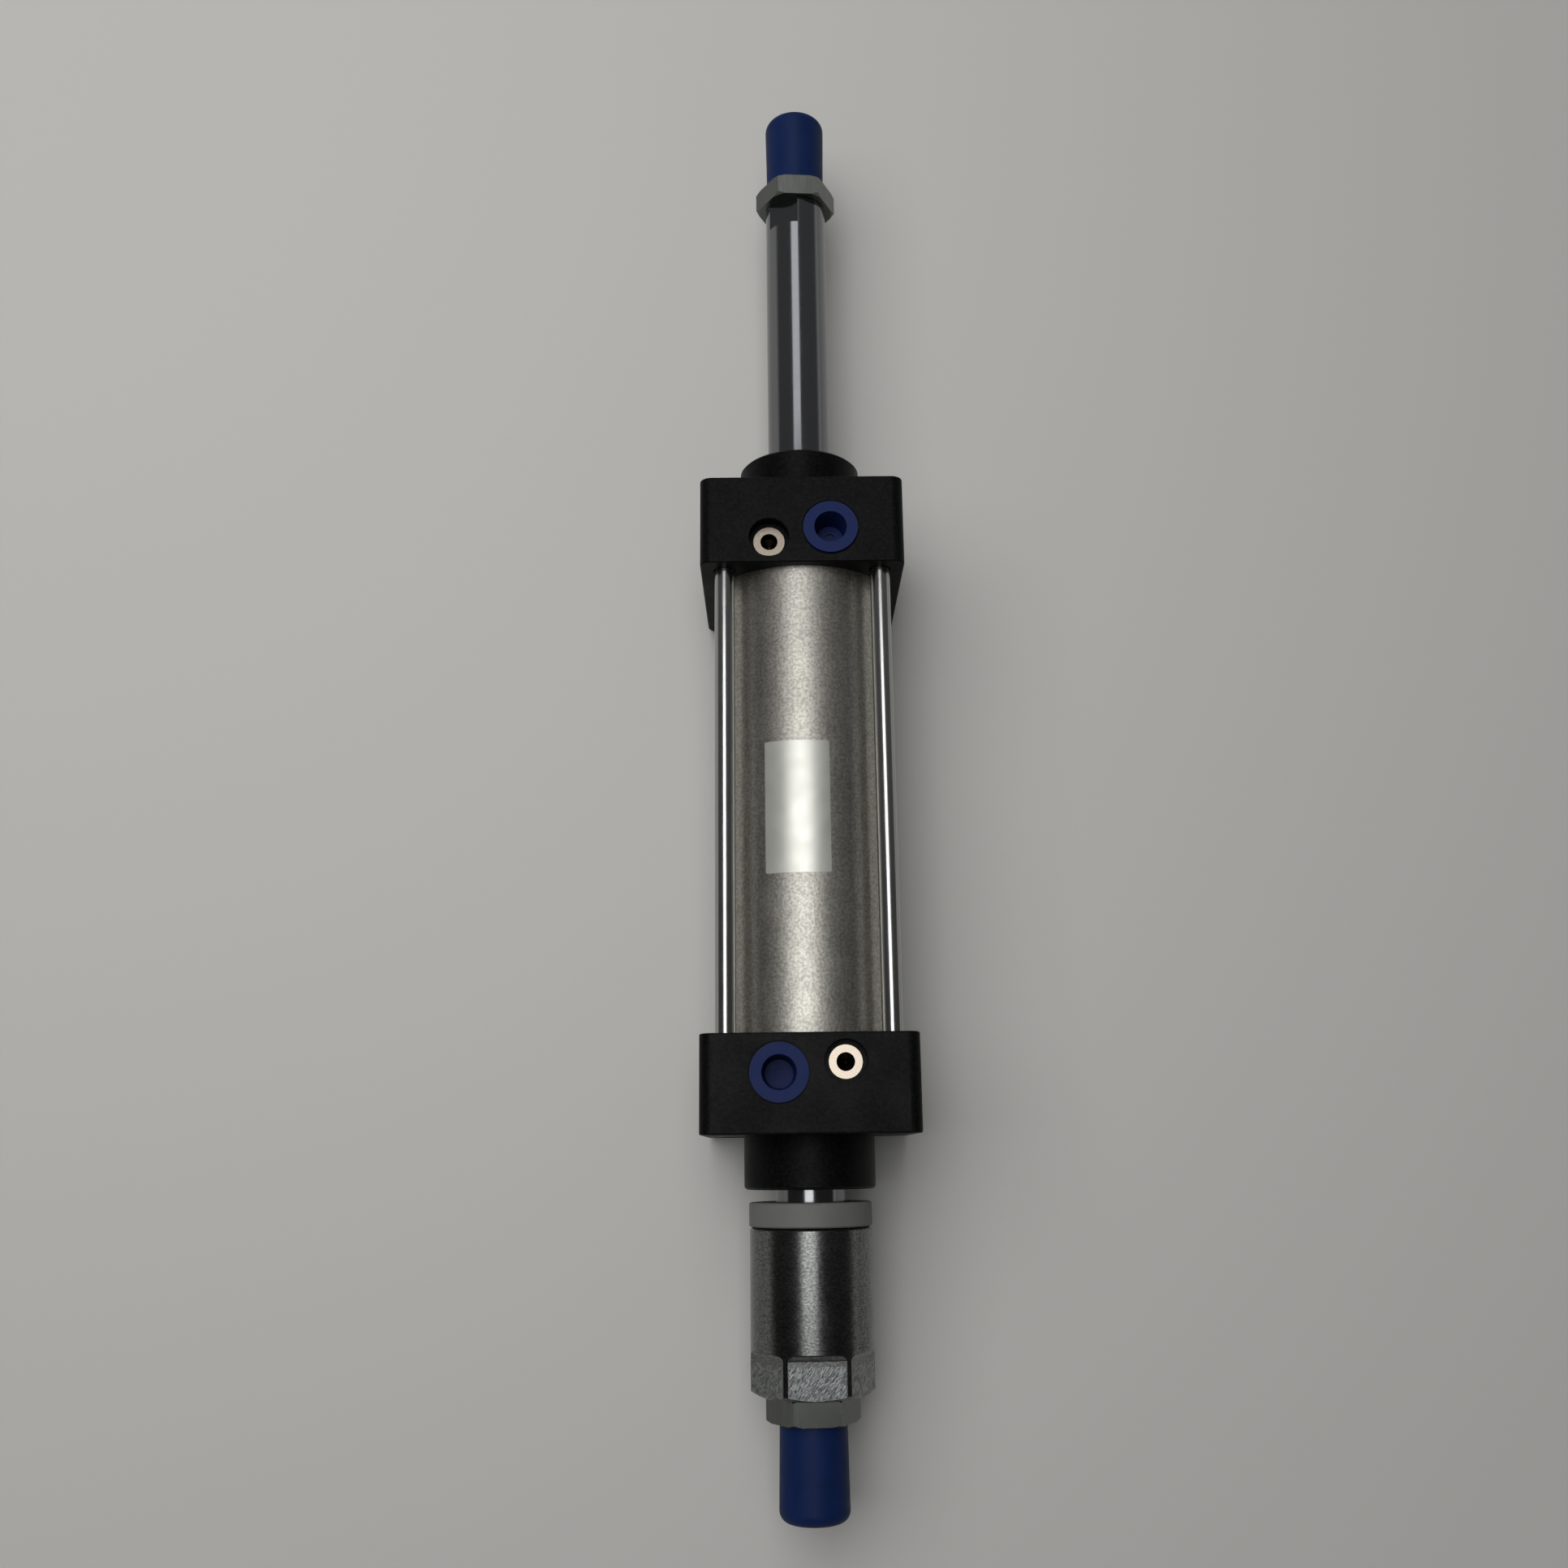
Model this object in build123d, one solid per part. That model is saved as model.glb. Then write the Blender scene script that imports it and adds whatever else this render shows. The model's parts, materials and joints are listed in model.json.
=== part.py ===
"""Double-rod pneumatic cylinder with tie rods and an adjustable stroke.

Millimetres, +Z up. The cylinder axis is the Y axis. The origin is on the axis, at the outer
face of the front cover, and +Y points out of the front cover along the working rod.
"""
from build123d import *
import os
from math import sqrt

os.makedirs("parts", exist_ok=True)

# Bore, stroke and the position at rest
bore = 50.0
stroke = 100.0
rest_gap = 13.5
stop_gap = 3.6
adjust_range = 30.0

# Running and seating clearances, each side
rod_clearance = 0.03
seal_clearance = 0.05
seat_clearance = 0.02
ring_clearance = 0.1

# Barrel tube
tube_wall = 2.5

# Cover casting
cover_length = 27.5
cover_margin = 7.25
cover_corner_radius = 3.5
cover_edge_radius = 0.5
boss_diameter = 38.0
boss_length = 15.0
boss_chamfer = 0.7
spigot_length = 5.5

# Air port, on the cover's top face
port_x = 8.6
port_from_face = 16.6
port_thread_diameter = 11.8
port_thread_depth = 12.0
port_spotface_diameter = 17.4
port_spotface_depth = 0.6
port_drill_diameter = 7.0

# Cushion needle, on the cover's top face
needle_x = 9.95
needle_from_inner_face = 8.0
needle_sink_diameter = 12.2
needle_sink_depth = 4.1
needle_diameter = 9.4
needle_length = 9.0
needle_socket_diameter = 5.2
needle_socket_depth = 4.0
needle_tip_diameter = 2.6
needle_tip_length = 2.6
needle_groove_depth = 1.2
needle_groove_width = 1.8
needle_groove_from_tip = 1.6
needle_opening = 1.0
bleed_diameter = 2.4
bleed_from_needle_seat = 1.6

# Tie rods and their nuts
tie_rod_diameter = 6.0
tie_rod_gap = 2.734
tie_rod_hole_clearance = 0.3
tie_nut_wall = 0.68
tie_nut_length = 20.0
tie_nut_sink = 0.4
tie_nut_socket_flats = 8.0
tie_nut_socket_depth = 4.0
mount_thread_length = 9.5
mount_hole_diameter = 5.0
tie_rod_end_gap = 0.5

# Rod guide and seals in the cover
bush_wall = 2.0
bush_length = 17.0
rod_seal_width = 5.0
rod_seal_length = 9.0
rod_seal_sink = 0.5
rod_lip_length = 1.5
cushion_seal_width = 4.0
cushion_seal_length = 4.5
cushion_seal_from_end = 1.2
cushion_chamber_gap = 1.5
cushion_chamber_depth = 20.5
cover_ring_width = 2.6
cover_ring_depth = 2.1
cover_ring_from_end = 1.2

# Piston and its seals
piston_length = 28.0
piston_clearance = 0.3
piston_seat_diameter = 16.0
piston_seal_width = 5.0
piston_seal_depth = 4.7
piston_seal_from_face = 2.5
piston_seal_lip = 0.8
wear_ring_gap = 2.5
wear_ring_depth = 1.4
magnet_width = 6.0
magnet_thickness = 6.0
magnet_wall = 2.3
piston_ring_width = 2.0
piston_ring_depth = 2.0

# Rods
rod_diameter = 20.0
rod_thread_diameter = 16.0
rod_thread_length = 32.0
rod_thread_chamfer = 1.5
rod_neck_length = 10.0
rod_flat_depth = 1.5
rod_flats_length = 9.5
rod_flats_turn = -28.0
rod_stud_diameter = 14.0
rod_stud_length = 20.0
rod_stud_end_gap = 1.0
cushion_sleeve_wall = 5.0
cushion_sleeve_length = 17.0
cushion_sleeve_chamfer = 1.5

# Thin nuts on the two rod threads
nut_flats = 23.0
nut_length = 7.0
nut_chamfer = 1.1
rod_nut_turn = 4.0
lock_nut_turn = 4.2

# Stop washer and adjusting sleeve
washer_overhang = 0.15
washer_length = 6.7
washer_edge = 0.4
stop_bore_clearance = 0.15
sleeve_diameter = 35.0
sleeve_length = 45.4
sleeve_thread_length = 16.0
sleeve_chamfer = 0.8
sleeve_hex_depth = 2.0
sleeve_hex_length = 10.4
sleeve_hex_cutter_radius = 1.9
sleeve_hex_turn = 3.7
sleeve_hex_chamfer = 1.3

# Soft caps on the threads and plugs in the ports
cap_rim_wall = 1.45
cap_flare = 0.35
cap_end = 2.0
cap_thread_gap = 0.05
cap_tip_gap = 0.3
front_cap_gap = 1.6
rear_cap_gap = 0.2
cap_end_radius = 3.2
plug_flange_gap = 0.5
plug_flange_thickness = 1.2
plug_wall = 0.95
plug_floor_gap = 2.0
plug_floor = 1.0
plug_taper = 0.9
plug_gate_diameter = 3.2
plug_gate_depth = 0.5

# Sizes that follow from the ones above
tie_rod_pitch = (bore + 2 * tube_wall + 2 * tie_rod_gap + tie_rod_diameter) / sqrt(2)
tie_nut_diameter = tie_nut_socket_flats * 2 / sqrt(3) + 2 * tie_nut_wall
cover_side = tie_rod_pitch + 2 * cover_margin
wear_ring_width = piston_length - 2 * (piston_seal_from_face + piston_seal_width + wear_ring_gap)
cap_length = rod_thread_length - nut_length - front_cap_gap + cap_tip_gap + cap_end

# Places that follow from the sizes above, along the axis from the front cover's outer face
chamber_length = stroke + piston_length
tube_length = chamber_length + 2 * spigot_length
body_length = tube_length + 2 * cover_length
cover_top = cover_side / 2
boss_end = boss_length
inner_face = -cover_length
spigot_end = inner_face - spigot_length
piston_front = spigot_end - rest_gap
piston_middle = piston_front - piston_length / 2
piston_back = piston_front - piston_length
front_shoulder = boss_end + rod_neck_length + stroke - rest_gap
front_tip = front_shoulder + rod_thread_length
rod_nut_end = front_shoulder + nut_length
front_cap_end = front_tip + cap_tip_gap + cap_end
rods_joint = piston_back - cushion_sleeve_length
rear_boss_end = -body_length - boss_length
washer_front = rear_boss_end - stop_gap
sleeve_front = washer_front - washer_length
sleeve_back = sleeve_front - sleeve_length
lock_nut_end = sleeve_back - nut_length
rear_tip = lock_nut_end - rear_cap_gap - cap_length + cap_end + cap_tip_gap
stop_back_travel = rest_gap - stop_gap
rear_shoulder = sleeve_back + sleeve_thread_length + adjust_range - stop_back_travel + ring_clearance

rod_radius = rod_diameter / 2
thread_radius = rod_thread_diameter / 2
seat_radius = piston_seat_diameter / 2
bore_radius = bore / 2
cushion_sleeve_radius = seat_radius + cushion_sleeve_wall
chamber_radius = cushion_sleeve_radius + cushion_chamber_gap
magnet_outer_radius = bore_radius - piston_clearance - wear_ring_depth - magnet_wall
magnet_inner_radius = magnet_outer_radius - magnet_thickness
port_floor = cover_top - port_thread_depth
needle_from_face = cover_length - needle_from_inner_face
needle_seat = cover_top - needle_sink_depth - needle_length - needle_opening
tie_nut_end = -tie_nut_sink - tie_nut_length
tie_rod_end = -tie_nut_sink - tie_nut_socket_depth - mount_thread_length - tie_rod_end_gap


def turned(*corners):
    """A solid turned about the cylinder axis, from corners given as (radius, y)."""
    return revolve(make_face(Polyline(*corners, close=True)), axis=Axis.Y)


def ring(inner, outer, y_one, y_other):
    """A plain ring about the cylinder axis."""
    return turned((inner, y_one), (outer, y_one), (outer, y_other), (inner, y_other))


def hexagon_prism(flats, y_from, length, turn):
    """A hexagon bar along the axis, one flat facing up before it is turned towards +X."""
    outline = Plane.XZ.offset(-y_from) * RegularPolygon(flats / 2, 6, major_radius=False)
    return Rot(0, turn, 0) * extrude(outline, length)


def upright(radius, x, y, z_low, z_high):
    """A round bar standing along Z."""
    return Pos(x, y, (z_low + z_high) / 2) * Cylinder(radius, z_high - z_low)


def along_axis(radius, x, z, y_low, y_high):
    """A round bar lying along Y, away from the cylinder axis."""
    return Pos(x, (y_low + y_high) / 2, z) * Rot(90, 0, 0) * Cylinder(radius, y_high - y_low)


def to_rear(shape):
    """The same piece at the rear cover, which is the front cover turned round."""
    return Pos(0, -body_length, 0) * Rot(0, 0, 180) * shape


def tie_rod_places():
    """The four corners where the tie rods run, as (x, z)."""
    half = tie_rod_pitch / 2
    return [(-half, half), (half, half), (-half, -half), (half, -half)]


def cover():
    """The front cover casting: square block, round boss, spigot, and all its bores."""
    square = Plane.XZ * RectangleRounded(cover_side, cover_side, cover_corner_radius)
    block = extrude(square, cover_length)
    outline = block.faces().filter_by(Axis.Y).edges()
    block = fillet(outline, cover_edge_radius)
    boss_radius = boss_diameter / 2
    boss = turned(
        (0, inner_face),
        (boss_radius, inner_face),
        (boss_radius, boss_end - boss_chamfer),
        (boss_radius - boss_chamfer, boss_end),
        (0, boss_end),
    )
    spigot_radius = bore_radius - seal_clearance
    groove_end = spigot_end + cover_ring_from_end
    spigot = ring(0, spigot_radius, spigot_end, inner_face)
    spigot -= ring(spigot_radius - cover_ring_depth, bore_radius, groove_end, groove_end + cover_ring_width)
    body = block + boss + spigot
    body -= cover_axial_bore()
    body -= port_bore()
    body -= needle_bore()
    for x, z in tie_rod_places():
        body -= along_axis(tie_rod_diameter / 2 + tie_rod_hole_clearance, x, z, inner_face, 0)
        body -= along_axis(tie_nut_diameter / 2 + ring_clearance, x, z, tie_nut_end, 0)
    return body


def cover_axial_bore():
    """What is bored out of the cover on its axis, from the boss mouth to the spigot."""
    seal_radius = rod_radius + rod_seal_width
    seal_floor = boss_end - rod_seal_sink - rod_seal_length
    bush_radius = rod_radius + rod_clearance + bush_wall
    bush_end = seal_floor - bush_length
    chamber_start = spigot_end + cushion_chamber_depth
    groove_radius = cushion_sleeve_radius + cushion_seal_width
    groove_end = spigot_end + cushion_seal_from_end
    groove_start = groove_end + cushion_seal_length + 2 * ring_clearance
    return turned(
        (0, boss_end),
        (seal_radius, boss_end),
        (seal_radius, seal_floor),
        (bush_radius, seal_floor),
        (bush_radius, min(bush_end, chamber_start)),
        (chamber_radius, min(bush_end, chamber_start)),
        (chamber_radius, groove_start),
        (groove_radius, groove_start),
        (groove_radius, groove_end),
        (chamber_radius, groove_end),
        (chamber_radius, spigot_end),
        (0, spigot_end),
    )


def port_bore():
    """The threaded air port with its spot face, and the drilling down to the cushion chamber."""
    bore_down = upright(port_thread_diameter / 2, port_x, -port_from_face, port_floor, cover_top)
    spot = upright(
        port_spotface_diameter / 2, port_x, -port_from_face, cover_top - port_spotface_depth, cover_top
    )
    drill = upright(port_drill_diameter / 2, port_x, -port_from_face, 0, port_floor)
    return bore_down + spot + drill


def needle_bore():
    """The sunk bore of the cushion needle, its seat, and the bleed drilled from the spigot."""
    radius = needle_diameter / 2 + seat_clearance
    seat_hole = needle_tip_diameter / 2 + ring_clearance
    sink = upright(
        needle_sink_diameter / 2, -needle_x, -needle_from_face, cover_top - needle_sink_depth, cover_top
    )
    bore_down = upright(radius, -needle_x, -needle_from_face, needle_seat, cover_top - needle_sink_depth)
    seat = upright(seat_hole, -needle_x, -needle_from_face, 0, needle_seat)
    bleed_z = needle_seat + bleed_from_needle_seat
    bleed = along_axis(bleed_diameter / 2, -needle_x, bleed_z, spigot_end, -needle_from_face)
    return sink + bore_down + seat + bleed


def rod_bush():
    """The plain bearing pressed in the cover."""
    start = boss_end - rod_seal_sink - rod_seal_length
    inner = rod_radius + rod_clearance
    return ring(inner, inner + bush_wall, start, start - bush_length)


def rod_seal():
    """The rod seal at the boss mouth, with the wiper lip that stands towards the rod."""
    outer = rod_radius + rod_seal_width
    inner = rod_radius + seal_clearance
    back = boss_end - rod_seal_sink - rod_seal_length
    front = boss_end - rod_seal_sink
    return turned(
        (inner, back),
        (outer, back),
        (outer, front),
        (outer - rod_lip_length, front),
        (inner + rod_lip_length, front - rod_lip_length),
        (inner, front),
    )


def cushion_seal():
    """The ring that closes on the cushion sleeve, sitting in its groove in the spigot."""
    end = spigot_end + cushion_seal_from_end + ring_clearance
    inner = cushion_sleeve_radius + seal_clearance
    outer = cushion_sleeve_radius + cushion_seal_width - seat_clearance
    return ring(inner, outer, end, end + cushion_seal_length)


def cover_ring():
    """The sealing ring between the spigot and the tube."""
    end = spigot_end + cover_ring_from_end + ring_clearance
    outer = bore_radius - seat_clearance
    inner = bore_radius - seal_clearance - cover_ring_depth + seat_clearance
    return ring(inner, outer, end, end + cover_ring_width - 2 * ring_clearance)


def tie_nut(x, z):
    """A round sunk nut: hexagon socket, mounting thread, then the thread on the tie rod."""
    body = along_axis(tie_nut_diameter / 2, x, z, tie_nut_end, -tie_nut_sink)
    socket = Pos(x, 0, z) * hexagon_prism(tie_nut_socket_flats, -tie_nut_sink, tie_nut_socket_depth, 0)
    body -= socket
    thread_end = -tie_nut_sink - tie_nut_socket_depth - mount_thread_length
    body -= along_axis(mount_hole_diameter / 2, x, z, thread_end, -tie_nut_sink)
    body -= along_axis(tie_rod_diameter / 2 + seat_clearance, x, z, tie_nut_end, thread_end)
    return body


def cushion_needle():
    """The throttle screw: round head face with a drilled socket, ring groove and cone tip."""
    radius = needle_diameter / 2
    top = cover_top - needle_sink_depth
    shank_end = top - needle_length
    socket_radius = needle_socket_diameter / 2
    groove_low = shank_end + needle_groove_from_tip
    groove_high = groove_low + needle_groove_width
    profile = Polyline(
        (0, shank_end - needle_tip_length),
        (needle_tip_diameter / 4, shank_end - needle_tip_length),
        (needle_tip_diameter / 2, shank_end),
        (radius, shank_end),
        (radius, groove_low),
        (radius - needle_groove_depth, groove_low),
        (radius - needle_groove_depth, groove_high),
        (radius, groove_high),
        (radius, top),
        (socket_radius, top),
        (socket_radius, top - needle_socket_depth),
        (0, top - needle_socket_depth - socket_radius / 2),
        close=True,
    )
    stem = revolve(Plane.XZ * make_face(profile), axis=Axis.Z)
    return Pos(-needle_x, -needle_from_face, 0) * stem


def needle_ring():
    """The sealing ring in the needle's groove."""
    top = cover_top - needle_sink_depth
    low = top - needle_length + needle_groove_from_tip + ring_clearance
    high = low + needle_groove_width - 2 * ring_clearance
    outer = needle_diameter / 2
    inner = outer - needle_groove_depth + seat_clearance
    band = upright(outer, -needle_x, -needle_from_face, low, high)
    return band - upright(inner, -needle_x, -needle_from_face, low, high)


def port_plug():
    """The soft dished plug: thin flange on the spot face and a tapered cup in the port."""
    seat = cover_top - port_spotface_depth
    top = seat + plug_flange_thickness
    flange = port_spotface_diameter / 2 - plug_flange_gap
    shank = port_thread_diameter / 2 - seal_clearance
    shank_low = shank - plug_taper
    floor = port_floor + plug_floor_gap + plug_floor
    profile = Polyline(
        (0, floor - plug_floor),
        (shank_low, floor - plug_floor),
        (shank, seat),
        (flange, seat),
        (flange, top),
        (shank - plug_wall, top),
        (shank_low - plug_wall, floor),
        (plug_gate_diameter / 2, floor),
        (plug_gate_diameter / 2, floor - plug_gate_depth),
        (0, floor - plug_gate_depth),
        close=True,
    )
    cup = revolve(Plane.XZ * make_face(profile), axis=Axis.Z)
    return Pos(port_x, -port_from_face, 0) * cup


def piston_half():
    """The front half of the piston: seal groove, wear ring step and magnet pocket."""
    land = bore_radius - piston_clearance
    groove_floor = land - piston_seal_depth
    groove_start = piston_front - piston_seal_from_face
    groove_end = groove_start - piston_seal_width
    step = piston_middle + wear_ring_width / 2
    pocket = piston_middle + magnet_width / 2
    return turned(
        (seat_radius + seat_clearance, piston_front),
        (land, piston_front),
        (land, groove_start),
        (groove_floor, groove_start),
        (groove_floor, groove_end),
        (land, groove_end),
        (land, step),
        (land - wear_ring_depth, step),
        (land - wear_ring_depth, piston_middle),
        (magnet_outer_radius, piston_middle),
        (magnet_outer_radius, pocket),
        (magnet_inner_radius, pocket),
        (magnet_inner_radius, piston_middle),
        (seat_radius + piston_ring_depth, piston_middle),
        (seat_radius + piston_ring_depth, piston_middle + piston_ring_width / 2),
        (seat_radius + seat_clearance, piston_middle + piston_ring_width / 2),
    )


def to_piston_back(shape):
    """The same piece in the rear half of the piston."""
    return Pos(0, 2 * piston_middle, 0) * Rot(0, 0, 180) * shape


def piston_seal():
    """A lip seal in the front half's groove, its lip towards the front chamber."""
    inner = bore_radius - piston_clearance - piston_seal_depth + seal_clearance
    outer = bore_radius - seal_clearance
    start = piston_front - piston_seal_from_face - ring_clearance
    end = start - piston_seal_width + 2 * ring_clearance
    return turned(
        (inner, start),
        (outer - piston_seal_lip, start),
        (outer, start - piston_seal_lip),
        (outer - piston_seal_lip, end),
        (inner, end),
    )


def wear_ring():
    """The guide band round the middle of the piston."""
    half = wear_ring_width / 2 - ring_clearance
    inner = bore_radius - piston_clearance - wear_ring_depth + seal_clearance
    return ring(inner, bore_radius - seal_clearance, piston_middle - half, piston_middle + half)


def piston_ring():
    """The sealing ring between the piston halves and the rod."""
    half = piston_ring_width / 2 - ring_clearance
    inner = seat_radius + seat_clearance
    outer = seat_radius + piston_ring_depth - seat_clearance
    return ring(inner, outer, piston_middle - half, piston_middle + half)


def front_rod():
    """The working rod: end thread, wrench flats, and the spigot that carries the piston."""
    spigot_start = piston_front + cushion_sleeve_length
    stud_radius = rod_stud_diameter / 2
    rod = turned(
        (0, rods_joint - rod_stud_length),
        (stud_radius, rods_joint - rod_stud_length),
        (stud_radius, rods_joint),
        (seat_radius, rods_joint),
        (seat_radius, spigot_start),
        (rod_radius, spigot_start),
        (rod_radius, front_shoulder),
        (thread_radius, front_shoulder),
        (thread_radius, front_tip - rod_thread_chamfer),
        (thread_radius - rod_thread_chamfer, front_tip),
        (0, front_tip),
    )
    flat_middle = front_shoulder - rod_flats_length / 2
    for side in (-1, 1):
        slab = Box(rod_diameter, rod_flats_length, rod_radius)
        lift = side * (1.5 * rod_radius - rod_flat_depth)
        rod -= Rot(0, rod_flats_turn, 0) * Pos(0, flat_middle, lift) * slab
    return rod


def rear_rod():
    """The rear rod: tapped for the front rod's stud, with the long thread of the stroke stop."""
    stud_bore = rod_stud_diameter / 2 + seat_clearance
    bore_end = rods_joint - rod_stud_length - rod_stud_end_gap
    return turned(
        (stud_bore, rods_joint),
        (rod_radius, rods_joint),
        (rod_radius, rear_shoulder),
        (thread_radius, rear_shoulder),
        (thread_radius, rear_tip + rod_thread_chamfer),
        (thread_radius - rod_thread_chamfer, rear_tip),
        (0, rear_tip),
        (0, bore_end),
        (stud_bore, bore_end),
    )


def cushion_sleeve():
    """The front cushion sleeve, clamped between the rod's shoulder and the piston."""
    inner = seat_radius + seat_clearance
    outer = cushion_sleeve_radius
    start = piston_front + cushion_sleeve_length
    return turned(
        (inner, piston_front),
        (outer, piston_front),
        (outer, start - cushion_sleeve_chamfer),
        (outer - cushion_sleeve_chamfer, start),
        (inner, start),
    )


def thin_nut(y_from, turn):
    """A thin hexagon nut with its corners turned off at both ends, reaching from y_from to the rear."""
    corner_radius = nut_flats / sqrt(3)
    y_to = y_from - nut_length
    flat_radius = corner_radius - nut_chamfer
    rise = nut_chamfer / sqrt(3)
    drum = turned(
        (thread_radius + seat_clearance, y_from),
        (flat_radius, y_from),
        (corner_radius, y_from - rise),
        (corner_radius, y_to + rise),
        (flat_radius, y_to),
        (thread_radius + seat_clearance, y_to),
    )
    return hexagon_prism(nut_flats, y_from, nut_length, turn) & drum


def stop_washer():
    """The plain washer between the rear boss and the adjusting sleeve."""
    outer = sleeve_diameter / 2 + washer_overhang
    inner = rod_radius + stop_bore_clearance
    return turned(
        (inner, washer_front),
        (outer - washer_edge, washer_front),
        (outer, washer_front - washer_edge),
        (outer, sleeve_front + washer_edge),
        (outer - washer_edge, sleeve_front),
        (inner, sleeve_front),
    )


def adjusting_sleeve():
    """The turned sleeve: bored to swallow the rod, threaded at its end, with a milled hexagon."""
    outer = sleeve_diameter / 2
    thread_start = sleeve_back + sleeve_thread_length
    body = turned(
        (rod_radius + stop_bore_clearance, sleeve_front),
        (outer - sleeve_chamfer, sleeve_front),
        (outer, sleeve_front - sleeve_chamfer),
        (outer, sleeve_back + sleeve_hex_chamfer),
        (outer - 2 * sleeve_hex_chamfer, sleeve_back),
        (thread_radius + seat_clearance, sleeve_back),
        (thread_radius + seat_clearance, thread_start),
        (rod_radius + stop_bore_clearance, thread_start),
    )
    for step in range(6):
        body -= Rot(0, sleeve_hex_turn + 60 * step, 0) * hexagon_cutter()
    return body


def hexagon_cutter():
    """What one pass of the milling cutter takes off, with the cutter's radius at its inner end."""
    half = sleeve_diameter / 2 - sleeve_hex_depth
    high = sleeve_diameter / 2 + 1
    start = sleeve_back + sleeve_hex_length
    arc_radius = sleeve_hex_cutter_radius
    bottom = Line((sleeve_back - 1, half), (start, half))
    run_out = RadiusArc(bottom @ 1, (start + arc_radius, half + arc_radius), -arc_radius)
    side = Line(run_out @ 1, (start + arc_radius, high + arc_radius))
    top = Line(side @ 1, (sleeve_back - 1, high + arc_radius))
    back = Line(top @ 1, bottom @ 0)
    face = Plane.YZ * make_face(bottom + run_out + side + top + back)
    return extrude(face, sleeve_diameter / 2, both=True)


def thread_cap():
    """The front thread cap: a soft cup, a little wider towards its rounded closed end."""
    inner = thread_radius + cap_thread_gap
    rim_radius = inner + cap_rim_wall
    outer = rim_radius + cap_flare
    end = front_cap_end
    rim = end - cap_length
    floor = end - cap_end
    side = Line((rim_radius, rim), (outer, end - cap_end_radius))
    corner = RadiusArc(side @ 1, (outer - cap_end_radius, end), -cap_end_radius)
    rest = Polyline(corner @ 1, (0, end), (0, floor), (inner, floor), (inner, rim), side @ 0)
    return revolve(make_face(side + corner + rest), axis=Axis.Y)


def rear_cap():
    """The same cap on the rear thread, against the lock nut."""
    rear_cap_end = rear_tip - cap_tip_gap - cap_end
    return Pos(0, front_cap_end + rear_cap_end, 0) * Rot(0, 0, 180) * thread_cap()


def tie_rod(x, z):
    """A plain tie rod that ends inside the thread of the nut at either cover."""
    return along_axis(tie_rod_diameter / 2, x, z, -body_length - tie_rod_end, tie_rod_end)


pieces = {
    "barrel_tube": ring(bore_radius, bore_radius + tube_wall, inner_face, inner_face - tube_length),
    "piston_wear_ring": wear_ring(),
    "piston_ring": piston_ring(),
    "front_piston_rod": front_rod(),
    "rear_piston_rod": rear_rod(),
    "rod_end_nut": thin_nut(rod_nut_end, rod_nut_turn),
    "stop_washer": stop_washer(),
    "adjusting_sleeve": adjusting_sleeve(),
    "lock_nut": thin_nut(sleeve_back, lock_nut_turn),
    "front_thread_cap": thread_cap(),
    "rear_thread_cap": rear_cap(),
    "piston_magnet": ring(
        magnet_inner_radius + ring_clearance,
        magnet_outer_radius - ring_clearance,
        piston_middle + magnet_width / 2 - ring_clearance,
        piston_middle - magnet_width / 2 + ring_clearance,
    ),
}

paired = {
    "cover": cover(),
    "rod_bush": rod_bush(),
    "rod_seal": rod_seal(),
    "cushion_seal": cushion_seal(),
    "cover_ring": cover_ring(),
    "cushion_needle": cushion_needle(),
    "needle_ring": needle_ring(),
    "port_plug": port_plug(),
}
for name, shape in paired.items():
    pieces["front_" + name] = shape
    pieces["rear_" + name] = to_rear(shape)

for name, shape in (
    ("piston_half", piston_half()),
    ("piston_seal", piston_seal()),
    ("cushion_sleeve", cushion_sleeve()),
):
    pieces["front_" + name] = shape
    pieces["rear_" + name] = to_piston_back(shape)

for count, (x, z) in enumerate(tie_rod_places(), start=1):
    pieces[f"tie_rod_{count}"] = tie_rod(x, z)
    pieces[f"front_tie_nut_{count}"] = tie_nut(x, z)
    pieces[f"rear_tie_nut_{count}"] = to_rear(tie_nut(-x, z))

for name, shape in pieces.items():
    export_step(shape, f"parts/{name}.step")
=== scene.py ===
"""Looks of the double-rod pneumatic cylinder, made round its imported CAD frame.

Metres, +Z up. The cylinder axis is the Y axis, and the origin is on the front cover's outer face.
"""
import json
import logging
import math
from dataclasses import dataclass, field
from enum import Enum

import bmesh
import bpy
from mathutils import Matrix, Vector

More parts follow.
